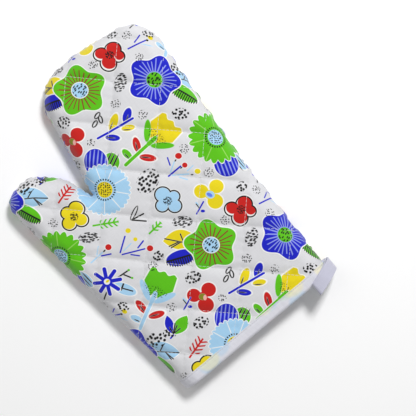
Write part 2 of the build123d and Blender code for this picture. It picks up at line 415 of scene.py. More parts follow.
def bound_cuff():
    """The folded bias strip as a grid: its cross-section carried round the mouth."""
    stations, folds = 520, 44
    turn, v = np.meshgrid(np.linspace(0, 2, stations, endpoint=False), np.linspace(0, 1, folds),
                          indexing="ij")
    inset, reach = binding_path(v)
    stitch_line = np.exp(-((reach - BINDING_WIDTH + TOPSTITCH_IN) / 0.7)**2) * 0.6
    side = np.where(v < 0.5, 1, -1)
    x, z = mouth_edge(turn, inset + side * (stitch_line - ripple(turn, v)), reach)
    z = np.maximum(z, 0.1)  # flat where it rests on the table
    points = np.stack([x, reach - back_drop(z), z], axis=-1).reshape(-1, 3)
    cloth = np.stack([turn * 190, v * 26], axis=-1).reshape(-1, 2)
    faces = grid_faces(folds, stations, closed_columns=True)[:, ::-1]
    order = np.arange(stations * folds).reshape(stations, folds).T.ravel()
    return add_mesh("bound_cuff", points[order], faces, cloth[order])


cuff = bound_cuff()
add_thickness(cuff, 0.5)
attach(cuff, "mitt")
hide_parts("cuff_binding")


# ---------------------------------------------------------------- stitches

def stitch_mesh(name, starts, ends, radius):
    """Short lengths of thread: each a six-sided capsule between two points, flattened to the cloth."""
    stations = np.array([0, 0.12, 0.35, 0.65, 0.88, 1.0])
    girth = np.array([0.25, 0.85, 1.0, 1.0, 0.85, 0.25])
    around = np.arange(6) / 6 * 2 * math.pi
    along = ends - starts
    tangent = along / np.linalg.norm(along, axis=1)[:, None]
    lift = np.cross(np.cross(tangent, np.array([0.0, 0.0, 1.0])), tangent)
    lift /= np.maximum(np.linalg.norm(lift, axis=1), 1e-6)[:, None]
    side = np.cross(tangent, lift)
    ring = (np.cos(around)[:, None, None] * side + 0.8 * np.sin(around)[:, None, None] * lift) * radius
    spine = starts[None] + stations[:, None, None] * along[None]
    arch = 0.35 * radius * np.sin(stations * math.pi)
    points = (spine[:, None] + girth[:, None, None, None] * ring[None]
              + arch[:, None, None, None] * lift[None, None])
    points = points.transpose(2, 0, 1, 3).reshape(-1, 3)
    tube = grid_faces(6, 6, closed_columns=True)
    offsets = np.arange(len(starts)) * 36
    faces = (offsets[:, None, None] + tube[None]).reshape(-1, 4)
    first_cap = offsets[:, None, None] + np.array([[3, 2, 1, 0], [5, 4, 3, 0]])[None]
    last_cap = offsets[:, None, None] + np.array([[30, 31, 32, 33], [30, 33, 34, 35]])[None]
    caps = np.concatenate([first_cap, last_cap], axis=1).reshape(-1, 4)
    return add_mesh(name, points, np.concatenate([faces, caps])[:, ::-1])


def quilting_stitches(name, height, lift):
    """Running stitches along every quilting line that lies on the panel, by the panel's own height."""
    stitch, step = 2.9, 3.5
    lines = []
    for pitch, count, along, over in ((QUILT_PITCH[0], 10, (1, 1), (-1, 1)),
                                      (QUILT_PITCH[1], 12, (1, -1), (1, 1))):
        index, run = np.meshgrid(np.arange(-count, count), np.arange(-260, 260, step), indexing="ij")
        offset = (index.ravel()[:, None] + 0.5) * pitch
        centre = (np.array(QUILT_CROSS) + offset * np.array(over) / math.sqrt(2)
                  + run.ravel()[:, None] * np.array(along) / math.sqrt(2))
        wander = 0.25 * np.sin(run.ravel()[:, None] * 0.05 + offset)
        centre = centre + wander * np.array(over) / math.sqrt(2)
        half = np.array(along) / math.sqrt(2) * stitch / 2
        lines.append(np.concatenate([centre - half, centre + half], axis=1))
    lines = np.concatenate(lines)
    lines = lines[(lines[:, 1] > BINDING_WIDTH + 0.5) & (lines[:, 3] > BINDING_WIDTH + 0.5)]
    lines = lines[inside_outline(lines[:, :2], OUTLINE) & inside_outline(lines[:, 2:], OUTLINE)]
    ends = []
    for pair in (lines[:, :2], lines[:, 2:]):
        distance, _ = edge_distance(pair, OUTLINE)
        z = height(pair[:, 0], pair[:, 1], distance) + lift
        ends.append((np.column_stack([pair, z]), distance))
    kept = (ends[0][1] > 0.8) & (ends[1][1] > 0.8)
    return stitch_mesh(name, ends[0][0][kept], ends[1][0][kept], 0.2)


front_stitches = quilting_stitches("quilting_stitches_front", front_height, 0.2)
back_stitches = quilting_stitches("quilting_stitches_back", back_height, 0.05)
follow_thumb(front_stitches)
follow_thumb(back_stitches)
stand_for(front_stitches, "front_quilting_thread")
stand_for(back_stitches, "back_quilting_thread")


def cuff_stitches():
    """The binding's topstitching, one row round the outside."""
    turn = np.linspace(0, 2, 160, endpoint=False)
    ends = []
    for shift in (-0.0045, 0.0045):
        x, z = mouth_edge((turn + shift) % 2, -0.42, BINDING_WIDTH)
        z = np.maximum(z, 0.3)
        y = BINDING_WIDTH - TOPSTITCH_IN - back_drop(z)
        ends.append(np.column_stack([x, y, z]))
    return stitch_mesh("binding_stitches", ends[0], ends[1], 0.26)


topstitch = cuff_stitches()
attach(topstitch, "mitt")
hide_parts("binding_topstitch")


# ---------------------------------------------------------------- lining

def lining(name, front):
    """The cloth against the hand: the outline pulled in by the wall, domed like the panel over it."""
    inset = RINGS[3]  # the ring nearest to the wall's thickness
    keep = depth > inset - 0.03
    radius = (FRONT_ROUND if front else BACK_ROUND) - inset
    outer = (TOP_Z if front else BACK_Z) - SEAM_Z
    rise = outer - math.copysign(inset, outer)
    z = SEAM_Z + rise * shoulder(np.maximum(depth - inset, 0), radius)
    z = z + (droop(flat[:, 0], flat[:, 1]) if front else 0)
    z = z + np.sign(rise) * -0.6 * (1 - np.minimum(1, np.abs(quilt_relief(flat[:, 0], flat[:, 1])) / 2))
    used = keep[triangles].all(axis=1)
    number = np.cumsum(keep) - 1
    faces = number[triangles[used]]
    points = np.column_stack([flat, z])[keep]
    piece = add_mesh(name, points, faces[:, ::-1] if front else faces)
    add_thickness(piece, 0.4)
    follow_thumb(piece)
    stand_for(piece, "front_lining" if front else "back_lining")
    return piece


front_lining = lining("lining_front", True)
back_lining = lining("lining_back", False)


# ---------------------------------------------------------------- hanging loop

PIVOT = (166.6, 9.0)  # x and z of the fold that the loop flips about
TAPE_FROM, TAPE_WIDTH, TAPE = -1.2, 12.0, 0.8
LOOP_SLOPE = math.tan(math.radians(17))
LOOP_TIP = 141.0


def loop_line(count):
    """The tape's middle line in x and z: up from the fold, over the cuff's rounded shoulder, round the
    far end and back down to the fold on a wider arc, evenly spaced."""
    lower = FRONT_ROUND + 1.4
    shoulder_x, shoulder_z = CUFF_WIDTH - FRONT_ROUND, 28 - FRONT_ROUND
    away = math.hypot(PIVOT[0] - shoulder_x, PIVOT[1] - shoulder_z)
    leave = math.atan2(PIVOT[1] - shoulder_z, PIVOT[0] - shoulder_x) + math.acos(lower / away)
    arc = np.linspace(leave, math.pi / 2, 30)
    over = np.stack([shoulder_x + lower * np.cos(arc), shoulder_z + lower * np.sin(arc)], axis=1)
    half = 2.3
    turn_x, low_z = LOOP_TIP + half + TAPE / 2, shoulder_z + lower
    bend = np.linspace(-math.pi / 2, -3 * math.pi / 2, 20)
    end = np.stack([turn_x + half * np.cos(bend), low_z + half + half * np.sin(bend)], axis=1)
    high_z = low_z + 2 * half
    dx, dz = PIVOT[0] + 0.5 - shoulder_x, PIVOT[1] - high_z
    wide = (dx * dx + dz * dz) / (-2 * dz)
    down = np.linspace(math.pi / 2, math.atan2(PIVOT[1] - high_z + wide, dx), 40)
    back = np.stack([shoulder_x + wide * np.cos(down), high_z - wide + wide * np.sin(down)], axis=1)
    line = np.concatenate([[PIVOT], over, end, back])
    run = np.concatenate([[0], np.cumsum(np.linalg.norm(np.diff(line, axis=0), axis=1))])
    even = np.linspace(0, run[-1], count)
    return np.stack([np.interp(even, run, line[:, 0]), np.interp(even, run, line[:, 1])], axis=1), even


def tape_loop():
    """The tape as a grid: its middle line carried along Y, leaning towards the cuff's open end."""
    line, run = loop_line(150)
    across = np.linspace(0, 1, 13)
    x = np.repeat(line[:, :1], 13, axis=1)
    z = np.repeat(line[:, 1:], 13, axis=1) + 0.10 * np.sin(run[:, None] * 0.5 + across * 2)
    lean = (PIVOT[0] + 1 - x) * LOOP_SLOPE
    lean = lean + 0.05 * (run[:, None] - run[-1] / 2).clip(0) * 0.3
    y = TAPE_FROM + across * TAPE_WIDTH - lean
    points = np.stack([x, y, z], axis=-1).reshape(-1, 3)
    cloth = np.stack([np.repeat(run[:, None], 13, axis=1), across * TAPE_WIDTH + 0 * x], axis=-1)
    return add_mesh("tape_loop", points, grid_faces(150, 13), cloth.reshape(-1, 2))


loop = tape_loop()
add_thickness(loop, TAPE, 0)
rounded = loop.modifiers.new("edges", "BEVEL")
rounded.width = 0.2 * MM
rounded.segments = 2
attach(loop, "hanging_loop")
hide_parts("hanging_loop")


# ---------------------------------------------------------------- sums in a material's nodes

class Number:
    """A number that a material's nodes work out. Arithmetic on it adds Math nodes."""

    def __init__(self, tree, socket):
        self.tree = tree
        self.socket = socket

    def math(self, operation, *others, clamp=False):
        node = self.tree.nodes.new("ShaderNodeMath")
        node.operation = operation
        node.use_clamp = clamp
        for place, value in zip(node.inputs, (self,) + others):
            connect(self.tree, value, place)
        return Number(self.tree, node.outputs[0])

    def __add__(self, other):
        return self.math("ADD", other)

    def __sub__(self, other):
        return self.math("SUBTRACT", other)

    def __rsub__(self, other):
        return self.math("MULTIPLY_ADD", -1.0, other)

    def __mul__(self, other):
        return self.math("MULTIPLY", other)

    def __truediv__(self, other):
        return self.math("DIVIDE", other)

    def __abs__(self):
        return self.math("ABSOLUTE")

    def sine(self):
        return self.math("SINE")

    def least(self, other):
        return self.math("MINIMUM", other)

    def most(self, other):
        return self.math("MAXIMUM", other)


def connect(tree, value, place):
    """Links a worked-out value to a socket, or sets a plain one on it."""
    if isinstance(value, Number):
        tree.links.new(value.socket, place)
    elif isinstance(value, bpy.types.NodeSocket):
        tree.links.new(value, place)
    else:
        place.default_value = value


def vector_math(tree, operation, *values, output=0):
    node = tree.nodes.new("ShaderNodeVectorMath")
    node.operation = operation
    for place, value in zip(node.inputs, values):
        connect(tree, value, place)
    return node.outputs[output]


def parts_of(tree, vector):
    """A vector's x and y."""
    node = tree.nodes.new("ShaderNodeSeparateXYZ")
    tree.links.new(vector, node.inputs[0])
    return Number(tree, node.outputs[0]), Number(tree, node.outputs[1])


def mix_colour(tree, factor, first, second, blend="MIX"):
    node = tree.nodes.new("ShaderNodeMix")
    node.data_type = "RGBA"
    node.blend_type = blend
    connect(tree, factor, node.inputs["Factor"])
    connect(tree, first, node.inputs[6])
    connect(tree, second, node.inputs[7])
    return node.outputs[2]


# ---------------------------------------------------------------- the floral print

def dye(red, green, blue):
    """A dye's colour from its 0 to 255 screen values."""
    return tuple((value / 255) ** 2.2 for value in (red, green, blue)) + (1.0,)


GROUND = dye(209, 209, 212)
HALO = dye(232, 232, 230)
GREEN = dye(86, 182, 0)
BLUE = dye(18, 28, 184)
SKY = dye(158, 200, 230)
YELLOW = dye(220, 200, 16)
RED = dye(190, 26, 20)
BLACK = dye(12, 12, 12)
BROWN = dye(128, 60, 36)
OLIVE = dye(126, 126, 26)
PALE_BLUE = dye(140, 152, 226)
PALE_GREEN = dye(150, 206, 96)

REPEAT = (172.0, 175.0)  # millimetres
PRINT_TURN = 39.8  # degrees: the flowers stand slanted on the cloth
SOFT = 0.32  # millimetres over which a dye's edge fades
STROKE_SPREAD = 1.35  # dye runs a little beyond a drawn line


def make_group(name, takes, gives):
    """A node group with labelled sockets; returns it with its takings as a list."""
    group = bpy.data.node_groups.new(name, "ShaderNodeTree")
    for label, kind in takes:
        group.interface.new_socket(label, in_out="INPUT", socket_type="NodeSocket" + kind)
    for label, kind in gives:
        group.interface.new_socket(label, in_out="OUTPUT", socket_type="NodeSocket" + kind)
    source = group.nodes.new("NodeGroupInput")
    return group, [source.outputs[label] for label, _ in takes]


def give(group, *values):
    sink = group.nodes.new("NodeGroupOutput")
    for place, value in zip(sink.inputs, values):
        connect(group, value, place)


def use_group(tree, group, *values):
    node = tree.nodes.new("ShaderNodeGroup")
    node.node_tree = group
    for place, value in zip(node.inputs, values):
        connect(tree, value, place)
    return node.outputs


PLACE = [("Cloth", "Vector"), ("Middle", "Vector"), ("Along", "Vector"), ("Across", "Vector")]


def near_group():
    """The step from a motif's middle to the cloth's place, wrapped into one repeat of the print."""
    group, (cloth, middle) = make_group("near", PLACE[:2], [("Near", "Vector")])
    off = vector_math(group, "SUBTRACT", cloth, middle)
    half = (REPEAT[0] / 2, REPEAT[1] / 2, 1)
    give(group, vector_math(group, "WRAP", off, half, tuple(-side for side in half)))
    return group


def seen_group(near):
    """How far along and across a turned motif the cloth's place lies: two dot products."""
    gives = [("Along", "Float"), ("Across", "Float")]
    group, (cloth, middle, along, across) = make_group("seen", PLACE, gives)
    step = use_group(group, near, cloth, middle)[0]
    give(group, Number(group, vector_math(group, "DOT_PRODUCT", step, along, output=1)),
         Number(group, vector_math(group, "DOT_PRODUCT", step, across, output=1)))
    return group


def root_of_squares(a, b):
    return (a * a).math("ADD", b * b).math("SQRT")


def round_group(seen):
    """Distance from a motif's middle, over its half sizes, and the angle round it in degrees."""
    group, takings = make_group("round", PLACE, [("Distance", "Float"), ("Angle", "Float")])
    along, across = (Number(group, socket) for socket in use_group(group, seen, *takings))
    give(group, root_of_squares(along, across), across.math("ARCTAN2", along) * math.degrees(1))
    return group


def brush_group(name, seen, stroke):
    """An oval, or a stroke whose half length is past its middle: lays a halo, then a dye, over what is
    below. inside = half width x (1 - distance over the half width)."""
    takes = PLACE + [("Below", "Color"), ("Dye", "Color"), ("Width", "Float"), ("Halo", "Float"),
                     ("Past", "Float")]
    group, takings = make_group(name, takes, [("Colour", "Color")])
    cloth, middle, along_axis, across_axis, below, colour, width, halo, past = takings
    along, across = (Number(group, socket) for socket
                     in use_group(group, seen, cloth, middle, along_axis, across_axis))
    width, halo, past = (Number(group, socket) for socket in (width, halo, past))
    if stroke:
        along = (abs(along) - past).most(0.0)
    inside = (1.0 - root_of_squares(along, across)) * width
    edge = ((inside + halo).math("MULTIPLY_ADD", 1 / SOFT, 0.5, clamp=True))
    below = mix_colour(group, edge, below, HALO)
    fill = inside.math("MULTIPLY_ADD", 1 / SOFT, 0.5, clamp=True)
    give(group, mix_colour(group, fill, below, colour))
    return group


def nearest_group(round_):
    """The greater of what is taken and how deep inside an oval the place lies."""
    group, takings = make_group("nearest", PLACE + [("Nearest", "Float")], [("Nearest", "Float")])
    distance = Number(group, use_group(group, round_, *takings[:4])[0])
    give(group, (1.0 - distance).most(Number(group, takings[4])))
    return group


def petal_group():
    """The greater of what is taken and how deep inside a round petal the place lies."""
    takes = [("Near", "Vector"), ("Centre", "Vector"), ("Radius", "Float"), ("Nearest", "Float")]
    group, (near, centre, radius, nearest) = make_group("petal", takes, [("Nearest", "Float")])
    gap = Number(group, vector_math(group, "DISTANCE", near, centre, output=1))
    give(group, (Number(group, radius) - gap).most(Number(group, nearest)))
    return group


class Print:
    """The printed cloth's colour, laid down one motif over the last, in millimetres. A motif's place is
    its middle on the repeat, its offsets go to its right and up, and inside is how far in from a
    shape's edge a point lies."""

    def __init__(self, tree, cloth):
        self.tree = tree
        self.cloth = cloth
        self.colour = GROUND
        self.near = near_group()
        self.seen = seen_group(self.near)
        self.round = round_group(self.seen)
        self.oval_brush = brush_group("oval", self.seen, False)
        self.stroke_brush = brush_group("stroke", self.seen, True)
        self.nearest = nearest_group(self.round)
        self.petal = petal_group()
        self.later = []
        self.known_marks = {}

    def lay(self, inside, dye_colour, soft=SOFT):
        factor = inside.math("MULTIPLY_ADD", 1 / soft, 0.5, clamp=True)
        self.colour = mix_colour(self.tree, factor, self.colour, dye_colour)

    def place(self, middle, right=0.0, up=0.0, turn=0.0, size=(1.0, 1.0)):
        """A motif's middle on the cloth, and its two axes over its half sizes."""
        slant = math.radians(PRINT_TURN)
        x = middle[0] + right * math.cos(slant) + up * math.sin(slant)
        y = middle[1] + up * math.cos(slant) - right * math.sin(slant)
        turned = math.radians(turn - PRINT_TURN)
        long, wide = size
        return ((x, y, 0), (math.cos(turned) / long, math.sin(turned) / long, 0),
                (-math.sin(turned) / wide, math.cos(turned) / wide, 0))

    def around(self, *place):
        """How far along and across a motif the cloth's place lies, repeated with the print."""
        return [Number(self.tree, socket) for socket
                in use_group(self.tree, self.seen, self.cloth, *self.place(*place))]

    def oval(self, middle, right, up, long, wide, turn, colour, halo=0.0):
        self.colour = use_group(self.tree, self.oval_brush, self.cloth,
                                *self.place(middle, right, up, turn, (long, wide)),
                                self.colour, colour, wide, halo, 0.0)[0]

    def stroke(self, middle, start, end, width, colour, halo=0.0):
        """A straight line with round ends between two offsets."""
        right, up = (start[0] + end[0]) / 2, (start[1] + end[1]) / 2
        turn = math.degrees(math.atan2(end[1] - start[1], end[0] - start[0]))
        half = width * STROKE_SPREAD / 2
        self.colour = use_group(self.tree, self.stroke_brush, self.cloth,
                                *self.place(middle, right, up, turn, (half, half)),
                                self.colour, colour, half, halo, math.dist(start, end) / 2 / half)[0]

    def draw(self, middle, *shapes):
        """A motif's strokes (start, end, width, ...) and ovals (right, up, half length, half width, ...)."""
        for shape in shapes:
            brush = self.stroke if isinstance(shape[0], tuple) else self.oval
            brush(middle, *shape)

    def leaf(self, middle, right, up, long, wide, turn, colour, pointed=True):
        """A leaf: half width x (1 - along squared - across), or an oval with blunt ends."""
        along, across = self.around(middle, right, up, turn, (long, wide))
        reach = along * along + abs(across) if pointed else root_of_squares(along, across)
        inside = (1.0 - reach) * wide
        self.lay(inside + 0.9, HALO)
        self.lay(inside, colour)
        return along, across, inside

    def marks(self, spacing, radius, stretch=1.0, turn=0.0, random=0.8):
        """Dots or dashes over the whole cloth: within radius of the points of a Voronoi pattern."""
        key = (spacing, radius, stretch, turn, random)
        if key not in self.known_marks:
            turned = self.tree.nodes.new("ShaderNodeMapping")
            turned.vector_type = "TEXTURE"
            turned.inputs["Rotation"].default_value = (0, 0, math.radians(turn - PRINT_TURN))
            turned.inputs["Scale"].default_value = (stretch * spacing, spacing, 1)
            self.tree.links.new(self.cloth, turned.inputs["Vector"])
            cells = self.tree.nodes.new("ShaderNodeTexVoronoi")
            cells.voronoi_dimensions = "2D"
            cells.inputs["Scale"].default_value = 1
            cells.inputs["Randomness"].default_value = random
            self.tree.links.new(turned.outputs[0], cells.inputs["Vector"])
            gap = Number(self.tree, cells.outputs["Distance"])
            self.known_marks[key] = (radius / spacing - gap) * spacing
        return self.known_marks[key]

    def mark(self, limit, *marks, **more):
        """Black marks that show only inside a limit. They are laid last of all."""
        self.later.append((limit, marks, more))

    def lay_marks(self):
        for limit, marks, more in self.later:
            self.lay(limit.least(self.marks(*marks, **more)), BLACK)

    def scatter(self, places, *marks, **more):
        """Marks that show only within some ovals: (x, y, half length, half width, turn) each."""
        nearest = -1.0
        for x, y, long, wide, turn in places:
            nearest = use_group(self.tree, self.nearest, self.cloth,
                                *self.place((x, y), 0, 0, turn, (long, wide)), nearest)[0]
        self.mark(Number(self.tree, nearest) * 6, *marks, **more)

    def polar(self, middle):
        """Distance in millimetres and angle, in degrees from the print's right."""
        distance, angle = use_group(self.tree, self.round, self.cloth, *self.place(middle))
        return Number(self.tree, distance), Number(self.tree, angle)

    def wave(self, angle, count, first):
        """1 at the first angle and each of count evenly spaced ones, -1 half-way between."""
        return ((angle - first) * math.radians(count)).math("COSINE")

    def blossom(self, middle, first, colour, streak, disc, streaks):
        """A five-lobed flower: radius + a wave of five round it, with fine streaks round a disc."""
        distance, angle = self.polar(middle)
        lobes = self.wave(angle, 5, first)
        inside = lobes * 2.7 + 20.4 - distance
        self.lay(inside + 1.0, HALO)
        self.lay(inside, colour)
        uneven = (angle * math.radians(3)).sine() * 3.0
        fine = (angle + uneven) * math.radians(streaks / 2)
        line = (0.42 if colour == BLUE else 0.5) - abs(fine.sine()) * distance * (2 / streaks)
        reach = lobes * 1.2 + 17.8 - distance + (angle * 0.31).sine() * 1.3
        self.lay(line.least(reach).least(distance - 7.4), streak, 0.4)
        centre = 6.8 - distance
        self.lay(centre + 0.6, streak if colour == BLUE else HALO)
        self.lay(centre, disc)
        self.mark(centre - 0.5, 1.9, 0.62, 2.0, 55)

    def daisy(self, middle, reach, lobes, height, colour, pale, disc, splits):
        """A daisy: radius + rounded scallops round it, pale lines between its petals and a dotted disc."""
        distance, angle = self.polar(middle)
        scallop = abs((angle * math.radians(lobes / 2)).sine())
        inside = scallop * height + (reach - height) - distance
        self.lay(inside + 0.8, HALO)
        self.lay(inside, colour)
        split = 0.35 - abs(((angle + 9) * math.radians(splits / 2)).sine()) * distance * (2 / splits)
        self.lay(split.least(distance - 10.4).least(inside - 0.8), pale, 0.5)
        dots = self.wave(angle, 26, 0) * 0.7 + 0.05
        self.lay(dots.least(0.8 - abs(distance - 9.0)), BLACK)
        self.lay(7.1 - distance, disc)
        self.mark(6.4 - distance, 2.0, 0.62, random=0.5)

    def petals(self, middle, petals, colour, outline=None):
        """A flower of round petals (right, up, radius), some with a black line drawn a little off it."""
        centre = self.place(middle)[0]
        near = use_group(self.tree, self.near, self.cloth, centre)[0]
        slant = math.radians(PRINT_TURN)

        def union(shift, extra):
            nearest = -99.0
            for right, up, radius in petals:
                right, up = right + shift[0], up + shift[1]
                step = (right * math.cos(slant) + up * math.sin(slant),
                        up * math.cos(slant) - right * math.sin(slant), 0)
                nearest = use_group(self.tree, self.petal, near, step, radius + extra, nearest)[0]
            return Number(self.tree, nearest)

        inside = union((0, 0), 0)
        if outline is None:
            self.lay(inside + 1.0, HALO)
            self.lay(inside, colour)
            return
        edge = union(outline, 0.8)
        self.lay(edge.most(inside) + 1.2, HALO)
        self.lay(inside, colour)
        self.lay(0.62 - abs(edge), BLACK)
        self.mark(3.8 - self.polar(middle)[0], 1.4, 0.62)

    def tulip(self, middle, turn, cup, sepal, leaves):
        """A cup with a scalloped top and speckled foot on a stem with three leaves; its middle is where
        the stem meets the cup, and turn is the way it points."""
        slant = math.radians(turn)

        def out(along, across):
            return (along * math.cos(slant) - across * math.sin(slant),
                    along * math.sin(slant) + across * math.cos(slant))

        for along, across, long, wide, angle, colour in (
                (-7, 6.2, 7, 3.2, 60, leaves[0]), (-8.2, -8.3, 7, 3.2, -50, leaves[0]),
                (-18.6, 6, 5.4, 3, 88, leaves[1])):
            self.oval(middle, *out(along, across), long, wide, turn + angle, colour, 0.8)
            self.oval(middle, *out(along - 1.3, across * 0.8), long * 0.55, 0.55, turn + angle, BLACK)
        self.stroke(middle, out(0, 0), out(-26, 0), 2.2, sepal, 0.6)
        along, across = self.around(middle, 0, 0, turn)
        top = 28.6 - along + (across * 0.716).math("COSINE") * 1.1 + abs(across) * 0.03
        side = (along * 0.85 - 0.5).least(14.7 - along * 0.1) - abs(across)
        inside = top.least(side * 0.8).least(along - 5.2)
        self.lay(inside + 0.9, HALO)
        self.lay(inside, cup)
        self.lay((0.55 - abs(across) * 0.29 + (7.8 - along) * 0.14).least(inside), HALO)
        foot = (15.2 - along - abs(across) * 0.3) * 0.46
        self.mark(foot.least(inside + 0.6), 1.9, 0.42)
        for side in (1, -1):
            self.oval(middle, *out(8.2, side * 9.1), 10, 2.9, turn + side * 43, sepal)
        self.stroke(middle, out(0.9, 0), out(8.7, 0), 2.8, sepal)

    def sprig(self, middle, turn, long, colour, side):
        """A stem with short side shoots that lean forward along it."""
        along, across = self.around(middle, 0, 0, turn)
        reach = abs(across)
        shoots = (along - reach * 0.8).math("PINGPONG", 2.08) - 1.2
        shoots = shoots.least(side - reach).least(long - along).least(along + long * 0.45)
        stem = (0.8 - reach).least(long + 0.4 - abs(along))
        self.lay(stem.most(shoots), colour)


def printed_cotton():
    """Crisp white cotton with a bright floral print, woven plain."""
    material, tree, shader = new_material("floral_cotton", roughness=0.82, sheen=0.25)
    cloth = cloth_place(tree, "cloth")
    art = Print(tree, cloth)
    speckle(art)
    large_flowers(art)
    small_flowers(art)
    twigs(art)
    star_flower(art, (8, 117.5))
    leaves_and_seeds(art)
    art.lay_marks()
    finish_cloth(tree, shader, art.colour, cloth, 0.5)
    return material


def speckle(art):
    """Round spots and long patches of dots and dashes between the flowers."""
    spots = ((159, 102), (154, 79), (120, 98), (113, 60), (125, 38), (5, 11), (47, 104), (36, 66),
             (136, 139), (133, 168))
    art.scatter([(x, y, 4.3, 4.3, 0) for x, y in spots] + [(75, 46, 3.5, 3.5, 0)], 1.9, 0.55)
    art.scatter([(67, 75, 7, 5.6, 20), (150, 19, 7.4, 5.2, 0), (56, 108, 5.2, 4.3, 60), (4, 92, 6, 4.3, 0),
                 (47, 40, 7, 5.2, 30), (150, 112, 5.2, 4.3, 45), (20, 49, 5.6, 4.3, 0)], 2.8, 1.05)
    art.scatter([(128, 72, 8.7, 5.2, 75), (21, 157, 9.1, 4.8, 5), (91, 119, 8.7, 5.2, 5)],
                1.6, 0.66, 2.0, 15)
    art.scatter([(91, 165, 12, 8.7, 60), (7, 51.5, 9.5, 7, 20)], 3.2, 1.15, 1.2, 60)


def large_flowers(art):
    """Two blossoms with a veined and a combed leaf each, and two daisies with their cups."""
    leafy = (97, 88)
    art.leaf(leafy, -26, 4.3, 14.7, 8.7, 187, YELLOW)
    for start, end in (((-39, 4.7), (-20.8, 1.3)), ((-26, 9.2), (-23.1, 1.7)),
                       ((-27.3, 2.2), (-35.2, -2)), ((-26, 1.7), (-33.5, -3.2))):
        art.stroke(leafy, start, end, 0.8, BLACK)
    combed_leaf(art, leafy, -25.1, -11.7, 13, 18, BLUE)
    art.blossom(leafy, 103, GREEN, BROWN, SKY, 24)

    starry = (152, 56)
    art.leaf(starry, 28.6, 4.3, 15.6, 8.7, -3, SKY)
    for start, end in (((24.2, 2.6), (31.6, 3.5)), ((26.6, 3.2), (29.8, 9.7)), ((31.6, 3.5), (43.3, 3.5)),
                       ((31.6, 3.2), (38.5, -2.2)), ((32.6, 2.2), (36.6, -2.9))):
        art.stroke(starry, start, end, 0.8, BLACK)
    combed_leaf(art, starry, 26, -10.8, 13, -26, GREEN)
    art.blossom(starry, 70, BLUE, PALE_BLUE, GREEN, 26)

    pond = (57.5, 7)
    art.oval(pond, 5.7, 25.1, 6.9, 7.8, 15, GREEN, 0.8)
    for step in (0, 1, 2):
        art.oval(pond, 3 + 3 * step, 26.8 - 0.85 * step, 6.9, 0.7, 66, BLACK)
    cup(art, pond, -7.8, 23.4, 10, 12.6, 85)
    art.daisy(pond, 22.5, 30, 1.9, SKY, HALO, YELLOW, 9)

    meadow = (161, 159.5)
    art.oval(meadow, 21.7, -19.9, 8.7, 5.6, -45, SKY, 0.8)
    for step in (-2.6, 0, 2.6):
        art.oval(meadow, 21.7 + step, -20.8 + step, 6.9, 0.7, -48, BLACK)
    cup(art, meadow, 9.1, -23.4, 10.8, 11.7, -70)
    art.daisy(meadow, 23.8, 21, 3.5, GREEN, PALE_GREEN, SKY, 7)


def small_flowers(art):
    """Flowers of three and four round petals, and two tulips."""
    art.petals((136.5, 96.5),
               [(3, 6.2, 6.1), (-7.3, 1.5, 5.4), (8.1, 0, 4.3), (-0.5, -6.4, 6.1), (0, 0, 3.9)],
               RED, (-0.5, -1.2))
    art.petals((22.5, 4.5),
               [(1.7, 7.4, 6.1), (-6.1, 3.2, 4.8), (-3.9, -5.7, 5.5), (6.1, -2.5, 5.2), (0, 0, 3.5)],
               YELLOW, (0.5, -0.2))
    art.petals((93, 141),
               [(-4.1, 5.4, 6.1), (5.2, 4.2, 4.3), (6, -4.2, 5.2), (-4.5, -4.3, 4.8), (0, 0, 3.5)],
               SKY, (0, 0))
    art.petals((124.5, 123), [(5.2, 7.4, 6.1), (-7.5, 2.7, 6.1), (4.4, -5.8, 6.6), (0, 0, 4.3)], YELLOW)
    art.draw((124.5, 123), (0, 0, 3.8, 3.3, -20, SKY), (-0.5, -0.2, 2.8, 1.6, -30, dye(90, 120, 225)))
    art.petals((62.5, 57), [(5, 6.5, 6.2), (-7.3, 1, 5.9), (2.9, -7.2, 6.8), (0, 0, 4.3)], RED)
    art.draw((62.5, 57), (0, 0, 3.1, 2.9, 0, OLIVE), (2.1, -0.7, 1.4, 2.3, 0, dye(235, 170, 160)))
    art.tulip((111.5, 15), 45, YELLOW, GREEN, (RED, GREEN))
    art.tulip((25.5, 80), 68, GREEN, SKY, (RED, SKY))


